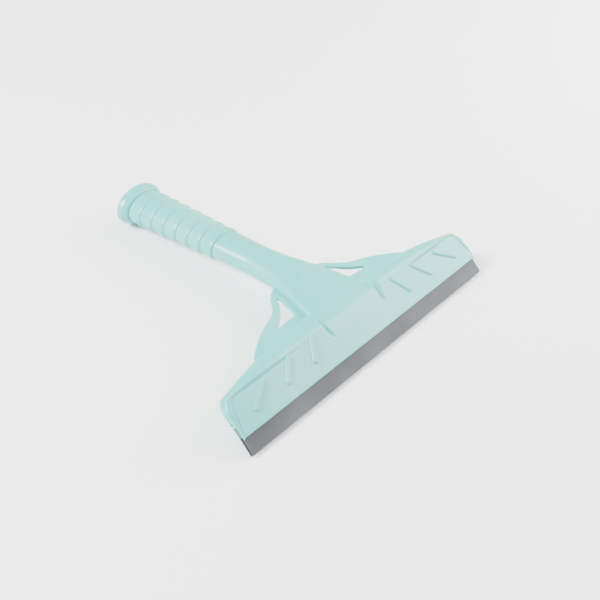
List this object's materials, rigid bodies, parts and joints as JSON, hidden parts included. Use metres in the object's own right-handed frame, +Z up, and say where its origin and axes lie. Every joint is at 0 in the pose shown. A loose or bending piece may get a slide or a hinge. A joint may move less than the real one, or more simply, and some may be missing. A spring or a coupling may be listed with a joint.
{
  "type": "window cleaning squeegee",
  "caption": "Hand-held window squeegee with a wide moulded head, ribbed pole-socket handle and a double-lip rubber blade that slides lengthwise out of the head",
  "frame": {"origin": "centre of the tool's footprint on the table it lies on, face up", "axes": "+X along the blade to the user's right when the handle points away, +Y from the lip to the handle's end, +Z up, out of the front face"},
  "size_m": [0.251, 0.2184, 0.0311],
  "materials": {
    "mint_plastic": "moulded, pale mint, soft gloss",
    "foam_rubber": "matt grey rubber",
    "pale_plastic": "unpainted pale plastic, hidden inside",
    "screw_steel": "zinc plated"
  },
  "bodies": {
    "handle": {"front_shell": "mint_plastic", "rear_shell": "mint_plastic", "grip": "mint_plastic", "end_collar": "mint_plastic", "pole_socket": "pale_plastic", "shell_screw_1": "screw_steel", "shell_screw_2": "screw_steel", "shell_screw_3": "screw_steel", "shell_screw_4": "screw_steel"},
    "blade": {"front_lip": "foam_rubber", "rear_lip": "foam_rubber", "blade_spine": "mint_plastic"}
  },
  "joints": [
    {"name": "blade_slide", "type": "slide", "parent": "handle", "child": "blade", "axis": [1, 0, 0], "range_m": [-0.24, 0.24]}
  ]
}
